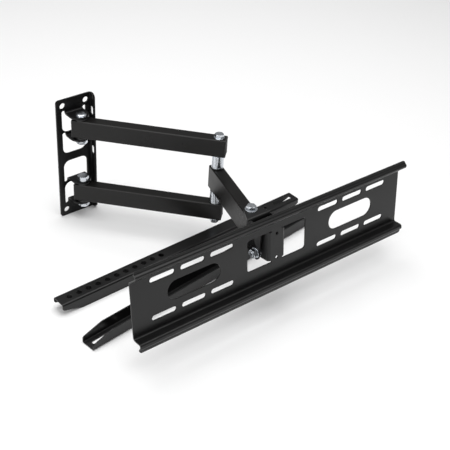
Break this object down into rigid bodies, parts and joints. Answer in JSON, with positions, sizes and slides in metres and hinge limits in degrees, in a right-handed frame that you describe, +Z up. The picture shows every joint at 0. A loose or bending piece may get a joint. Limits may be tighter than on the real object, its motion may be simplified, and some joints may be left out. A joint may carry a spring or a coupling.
{
  "type": "full motion tv wall mount",
  "caption": "Full motion wall mount: slotted wall plate, paired arm tubes, forearm, swivel and tilt head, long slotted TV plate and loose channel rails.",
  "frame": {"origin": "centre of the wall plate's back face, where it meets the wall, midway between its four screw holes", "axes": "+Z up, +X to the right seen from the front, -Y out of the wall towards the television"},
  "size_m": [0.5257, 0.4041, 0.215],
  "materials": {
    "powder_coat_web": "satin black powder coat",
    "powder_coat_tube": "satin black powder coat",
    "powder_coat_plate": "satin black powder coat",
    "powder_coat_rail": "satin black powder coat",
    "nylon": "moulded nylon",
    "end_plug": "moulded polyethylene",
    "zinc": "bright zinc plate"
  },
  "bodies": {
    "wall_plate": {"wall_plate": "powder_coat_web", "upper_wall_bolt": "zinc", "lower_wall_bolt": "zinc", "wall_washers": "zinc", "wall_nuts": "zinc"},
    "arms": {"upper_arm_tube": "powder_coat_tube", "lower_arm_tube": "powder_coat_tube", "upper_arm_bushes": "nylon", "lower_arm_bushes": "nylon", "upper_arm_end_caps": "end_plug", "lower_arm_end_caps": "end_plug", "elbow_bolt": "zinc", "elbow_washers": "zinc", "elbow_nut": "zinc", "upper_elbow_sleeve": "zinc", "lower_elbow_sleeve": "zinc"},
    "forearm": {"forearm_tube": "powder_coat_tube", "forearm_bushes": "nylon", "forearm_end_caps": "end_plug"},
    "head": {"head_bracket": "powder_coat_plate", "swivel_bolt": "zinc", "swivel_washers": "zinc", "swivel_nut": "zinc", "tilt_bolt": "zinc", "tilt_washers": "zinc", "tilt_nut": "zinc"},
    "tv_plate": {"tv_plate": "powder_coat_plate"},
    "rail_1": {"rail_1": "powder_coat_rail"},
    "rail_2": {"rail_2": "powder_coat_rail"}
  },
  "joints": [
    {"name": "wall_swing", "type": "hinge", "parent": "wall_plate", "child": "arms", "pos_m": [-0.001, -0.0238, 0.004], "axis": [0, 0, 1], "range_deg": [-131, 49]},
    {"name": "elbow_swing", "type": "hinge", "parent": "arms", "child": "forearm", "pos_m": [0.143, -0.18946, 0.004], "axis": [0, 0, 1], "range_deg": [-72, 150]},
    {"name": "head_swivel", "type": "hinge", "parent": "forearm", "child": "head", "pos_m": [0.10565, -0.31398, 0.004], "axis": [0, 0, -1], "range_deg": [-60, 60]},
    {"name": "tv_tilt", "type": "hinge", "parent": "head", "child": "tv_plate", "pos_m": [0.10479, -0.35497, -0.016], "axis": [0.9998, -0.0209, 0], "range_deg": [-8, 20]},
    {"name": "rail_1_slide", "type": "slide", "parent": "wall_plate", "child": "rail_1", "axis": [0.9997, 0.0244, 0], "range_m": [-0.4, 0.2]},
    {"name": "rail_2_slide", "type": "slide", "parent": "wall_plate", "child": "rail_2", "axis": [0.9942, 0.108, 0], "range_m": [-0.4, 0.2]}
  ]
}
